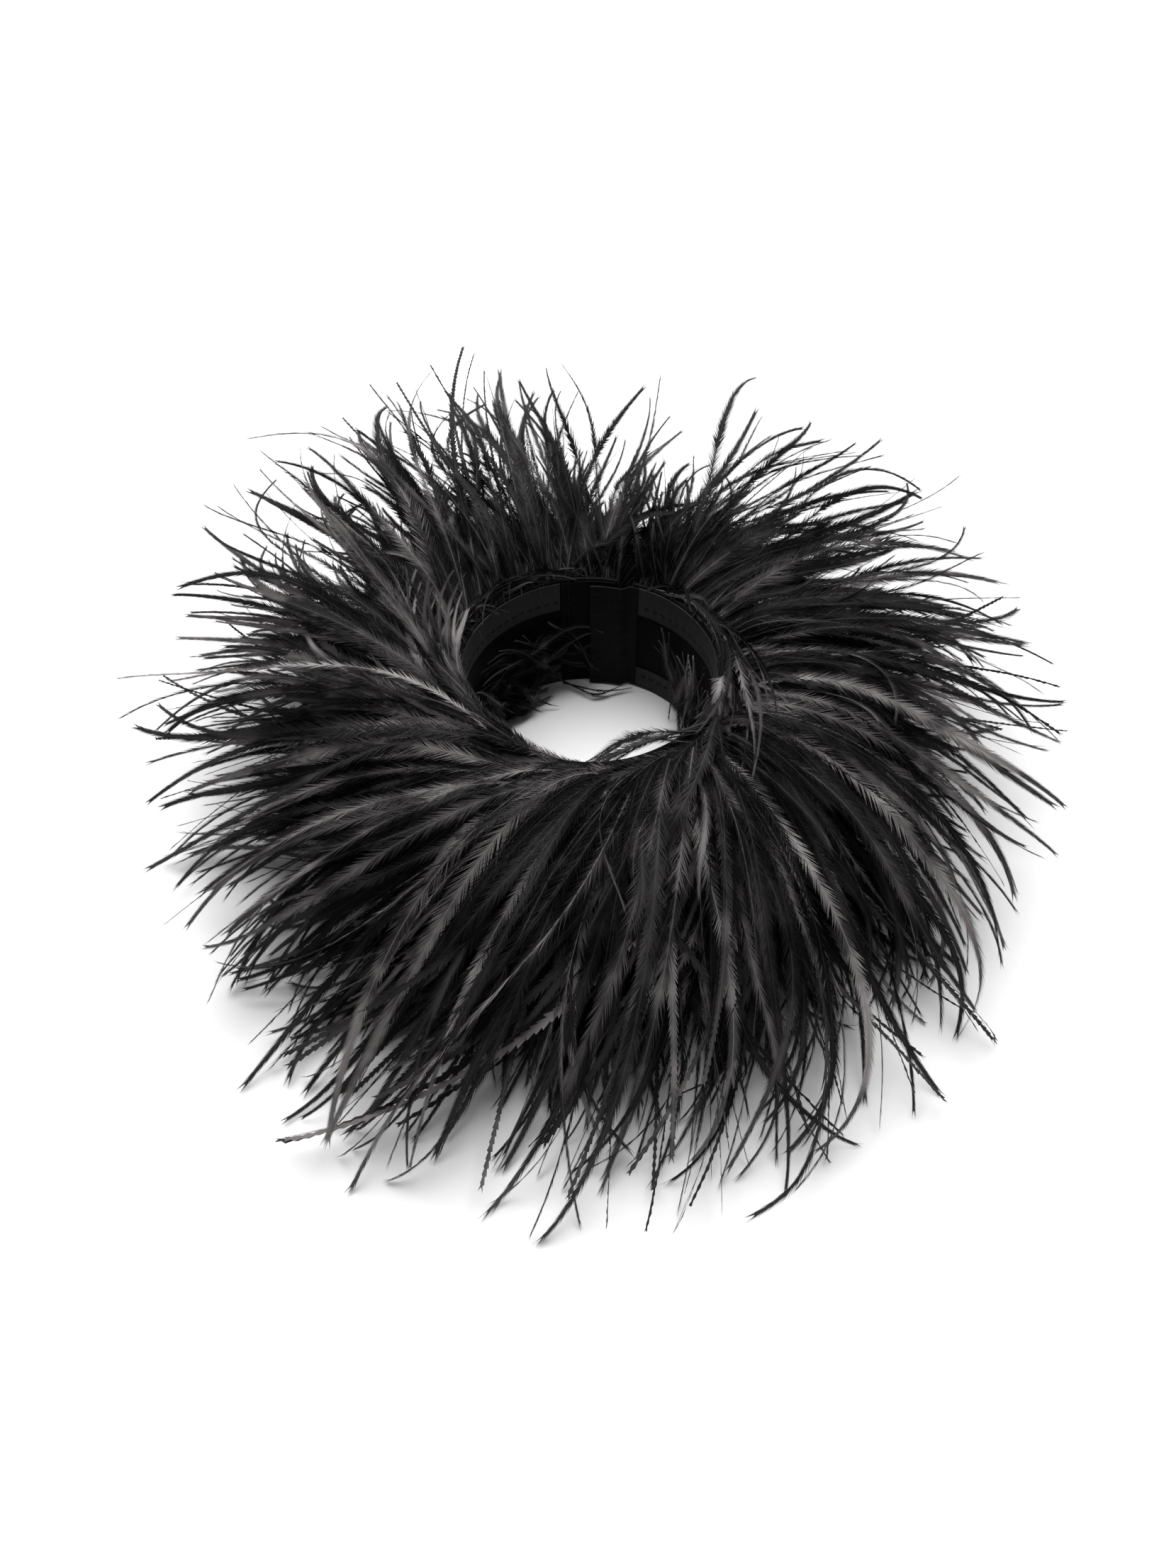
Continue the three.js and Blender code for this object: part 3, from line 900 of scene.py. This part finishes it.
def add_closure_tab(materials):
    """The lapped end of the band: it steps inwards and has a turned hem at its free edge."""
    bottom, top, _, _ = span_of("closure_tab")
    tab_inner, _ = reach_of("closure_tab")
    band_inner, _ = reach_of("band_lining")
    flat = tab_inner + 0.35
    root = band_inner - 0.36

    def middle(az):
        return root + (flat - root) * smoothstep(az, TAB_ROOT, TAB_STEP_END)

    def hem(az):
        return smoothstep(az, TAB_EDGE - TAB_HEM, TAB_EDGE - TAB_HEM + 0.7)

    def stitch_dent(az, z):
        return drawn_in(np.radians(az - TAB_STITCH_AZIMUTH) * flat, z)

    def inner(az, z):
        rounded = 0.18 * smoothstep(az, TAB_EDGE - 0.6, TAB_EDGE)
        face = middle(az) - TAB_HALF_THICKNESS - 0.1 * hem(az)
        return face + stitch_dent(az, z) + rounded + slack(az, z, 0.04, 4)

    def outer(az, z):
        rounded = 0.15 * smoothstep(az, TAB_EDGE - 0.6, TAB_EDGE)
        return middle(az) + TAB_HALF_THICKNESS + 0.08 * hem(az) - rounded + slack(az, z, 0.03, 4)

    azimuths, heights = grid(TAB_SEWN_FROM, TAB_EDGE, 0.35), grid(bottom, top, 0.5)
    tab = cloth_slab("closure_tab_cloth", azimuths, heights, inner, outer, materials["tab"])
    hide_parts("closure_tab")
    start = polar(root, TAB_ROOT + 0.4, bottom) * MM
    end = polar(middle(TAB_STEP_END), TAB_STEP_END, bottom) * MM
    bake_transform(tab)
    stitches = column_of_stitches(
        "tab_stitches", flat - 0.33, TAB_STITCH_AZIMUTH, bottom, top, materials["thread"]
    )
    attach(stitches, "closure_tab")


# Press studs, as (radius, depth), with the depth outwards from the side that faces the ring's axis. The ball
# half is solid and the socket half is a ring round its hole.
BALL_PROFILE = (
    (0.3, 0.02), (0.6, 0.09), (0.84, 0.22), (0.94, 0.36), (0.88, 0.45), (0.82, 0.5), (1.2, 0.53),
    (2.3, 0.5), (2.62, 0.51), (2.82, 0.58), (2.9, 0.67), (2.86, 0.76), (2.74, 0.8), (0.3, 0.8),
)
SOCKET_PROFILE = (
    (1.25, 0.06), (1.32, 0.0), (2.7, 0.0), (2.84, 0.04), (2.9, 0.14), (2.88, 0.25), (2.7, 0.38),
    (2.4, 0.48), (1.9, 0.44), (1.6, 0.48), (1.35, 0.5), (1.26, 0.44),
)
STUD_SIDES = 48


def add_stud(name, profile, solid, body, material):
    """A turned press-stud half in place of a CAD one."""
    low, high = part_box(name)
    place = np.array((low + high) / 2) / MM
    azimuth = math.degrees(math.atan2(place[1], place[0]))
    nearest, _ = reach_of(name)
    turn = np.linspace(0, 2 * np.pi, STUD_SIDES, endpoint=False)
    outwards, sideways = polar(1, azimuth, 0), polar(1, azimuth + 90, 0)
    centre = outwards * nearest + UP * place[2]
    radius, depth = np.array(profile).T
    ring = sideways * np.cos(turn)[:, None] + UP * np.sin(turn)[:, None]
    points = centre + radius[:, None, None] * ring[None] + depth[:, None, None] * outwards
    number = np.arange(len(profile) * STUD_SIDES).reshape(len(profile), STUD_SIDES)
    near, far = (number[:-1], number[1:]) if solid else (number, np.roll(number, -1, axis=0))
    faces = np.stack([near, np.roll(near, -1, 1), np.roll(far, -1, 1), far], -1).reshape(-1, 4).tolist()
    if solid:
        faces += [number[0, ::-1].tolist(), number[-1].tolist()]
    piece = add_object(name + "_half", points.reshape(-1, 3), faces, material)
    mark_sharp_edges(piece, 30)
    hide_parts(name)
    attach(piece, body)


def add_studs(material):
    for level in ("upper", "lower"):
        add_stud("stud_ball_" + level, BALL_PROFILE, True, "cuff", material)
        add_stud("stud_socket_" + level, SOCKET_PROFILE, False, "closure_tab", material)


# ---- Studio ----

FLOOR_HALF = 3000


def add_camera():
    """The camera that took the photo, fitted to the ellipse of the ring's rim."""
    camera = bpy.data.objects.new("camera", bpy.data.cameras.new("camera"))
    camera.data.sensor_width = 36
    camera.data.lens = 29.29
    camera.data.clip_start = 0.01
    camera.location = (0.0052, -0.2464, 0.2819)
    camera.rotation_euler = (math.radians(40.2), 0, math.radians(1.3))
    bpy.context.scene.collection.objects.link(camera)
    bpy.context.scene.camera = camera


def add_light(name, place, size, power):
    """A round area light that looks at the origin."""
    light = bpy.data.lights.new(name, "AREA")
    light.shape = "DISK"
    light.size = size
    light.energy = power
    made = bpy.data.objects.new(name, light)
    made.location = place
    made.rotation_euler = (-Vector(place)).to_track_quat("-Z", "Y").to_euler()
    bpy.context.scene.collection.objects.link(made)


def add_studio():
    """A pale floor, an even white world and one large soft light above and behind the cuff."""
    scene = bpy.context.scene
    scene.view_settings.view_transform = "Standard"
    world = bpy.data.worlds.new("studio")
    world.use_nodes = True
    world.node_tree.nodes["Background"].inputs["Color"].default_value = (1, 1, 1, 1)
    world.node_tree.nodes["Background"].inputs["Strength"].default_value = 0.22
    scene.world = world
    material, tree, shader = new_material("pale_floor")
    grain = node(tree, "ShaderNodeTexNoise", {"Scale": 40.0, "Detail": 2.0})
    pale = mix_colours(tree, grain.outputs["Fac"], (0.86, 0.86, 0.86, 1), (0.9, 0.9, 0.9, 1))
    tree.links.new(pale, shader.inputs["Base Color"])
    shader.inputs["Roughness"].default_value = 0.9
    shader.inputs["Specular IOR Level"].default_value = 0.1
    corners = FLOOR_HALF * np.array([[-1, -1, 0], [1, -1, 0], [1, 1, 0], [-1, 1, 0]], float)
    floor = add_object("floor", corners, [[0, 1, 2, 3]], material)
    add_light("softbox_above", (-0.1, 0.4, 1.05), 1.4, 23)


# ---- Assembly ----

add_camera()
add_studio()
feather = feather_material("ostrich_feather", 0.08, 0.0008)
# A darker, less glossy copy of the feather, painted shade, for the under rows, the dark strands at the back
# and over the notch, and those inside the ring.
shaded_feather = feather_material("ostrich_feather_painted_shade", 0.025, 0.0005)
add_fringe({"upper": feather, "middle": shaded_feather, "lower": shaded_feather})
light_strands = {name: kind for name, kind in RIM_STRANDS.items() if kind["tone"][1] > DARK_TONE}
shaded_strands = {name: kind for name, kind in RIM_STRANDS.items() if kind["tone"][1] <= DARK_TONE}
add_strands(light_strands, feather)
add_strands(shaded_strands, shaded_feather)
add_strands(INNER_STRANDS, shaded_feather)
cloths = {
    "band": cloth_material("band_cloth", (0.0028, 0.0028, 0.0032), 0.6, 0.6, 0.9),
    "ribbon": cloth_material("ribbon", (0.0095, 0.0095, 0.011), 0.55, 8.0, 0.62, 0.25),
    "tab": cloth_material("tab_cloth", (0.0042, 0.0042, 0.005), 0.55, 4.0, 0.75),
    "header": cloth_material("header_cloth", (0.003, 0.003, 0.0035), 0.9, 0.9, 0.9),
    "thread": cloth_material("thread", (0.010, 0.010, 0.011), 0.3, 0.3, 0.6),
}
add_walls(cloths)
add_closure_tab(cloths)
add_studs(metal_material("blackened_metal", (0.03, 0.03, 0.032)))
